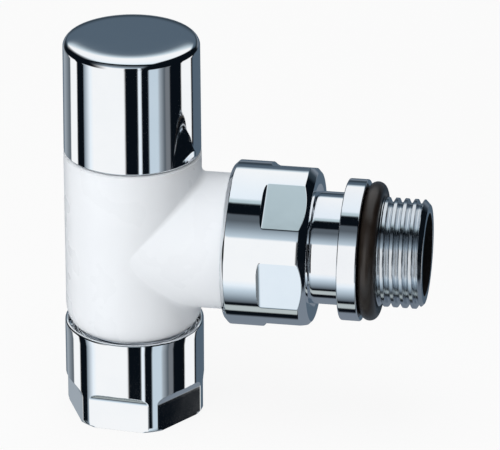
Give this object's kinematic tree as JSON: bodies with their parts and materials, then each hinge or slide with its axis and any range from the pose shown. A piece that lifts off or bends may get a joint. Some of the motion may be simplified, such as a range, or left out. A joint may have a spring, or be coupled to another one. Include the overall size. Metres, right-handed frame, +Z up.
{
  "type": "manual radiator valve",
  "caption": "Angle radiator valve: white enamelled body, chromed turning cap, compression nut for the pipe below and a union tail with a sealed thread to the radiator.",
  "frame": {"origin": "the pipe stop: the centre of the pipe socket's floor, on the valve's upright axis", "axes": "+Z up the upright axis to the handwheel, +X along the tail to the radiator"},
  "size_m": [0.0704, 0.0316, 0.0775],
  "materials": {
    "white_enamel": "gloss white enamel on brass",
    "chrome": "polished chrome plate on brass",
    "chrome_tail": "chrome plate on brass, satin in the thread",
    "black_rubber": "matt black rubber",
    "brass": "turned brass",
    "spring_steel": "bright steel",
    "hub_plastic": "moulded white plastic",
    "washer_plastic": "low-friction white plastic"
  },
  "bodies": {
    "valve_body": {"valve_body": "white_enamel", "bonnet": "brass", "bonnet_seal": "black_rubber", "gland_nut": "brass", "stem_seal_lower": "black_rubber", "stem_seal_upper": "black_rubber", "thrust_washer": "washer_plastic"},
    "handwheel": {"handwheel_cap": "chrome", "handwheel_hub": "hub_plastic", "handwheel_screw": "spring_steel", "stem": "brass", "stem_circlip": "spring_steel"},
    "disc_carrier": {"disc_carrier": "brass", "valve_disc": "black_rubber", "disc_plate": "spring_steel", "disc_screw": "spring_steel"},
    "tailpiece": {"tailpiece": "chrome_tail", "nut_retaining_ring": "spring_steel", "union_seal": "black_rubber", "radiator_seal": "black_rubber"},
    "union_nut": {"union_nut": "chrome"},
    "olive": {"olive": "brass"},
    "pipe_nut": {"pipe_nut": "chrome"}
  },
  "joints": [
    {"name": "handwheel_turn", "type": "hinge", "parent": "valve_body", "child": "handwheel", "pos_m": [0, 0, 0.0175], "axis": [0, 0, 1], "range_deg": [0, 900]},
    {"name": "disc_lift", "type": "slide", "parent": "valve_body", "child": "disc_carrier", "axis": [0, 0, 1], "range_m": [0, 0.00376]},
    {"name": "tailpiece_draw", "type": "slide", "parent": "valve_body", "child": "tailpiece", "axis": [1, 0, 0], "range_m": [0, 0.00636]},
    {"name": "union_nut_turn", "type": "hinge", "parent": "tailpiece", "child": "union_nut", "pos_m": [0.027, 0, 0.0175], "axis": [1, 0, 0], "range_deg": [0, 1260]},
    {"name": "olive_drop", "type": "slide", "parent": "valve_body", "child": "olive", "axis": [0, 0, -1], "range_m": [0, 0.00526]},
    {"name": "pipe_nut_turn", "type": "hinge", "parent": "olive", "child": "pipe_nut", "pos_m": [0, 0, -0.009], "axis": [0, 0, -1], "range_deg": [0, 1260]}
  ],
  "couplings": [
    {"joint": "disc_lift", "follows": "handwheel_turn", "m_per_rad": 0.00023873},
    {"joint": "tailpiece_draw", "follows": "union_nut_turn", "m_per_rad": 0.00028871},
    {"joint": "olive_drop", "follows": "pipe_nut_turn", "m_per_rad": 0.00023873}
  ]
}
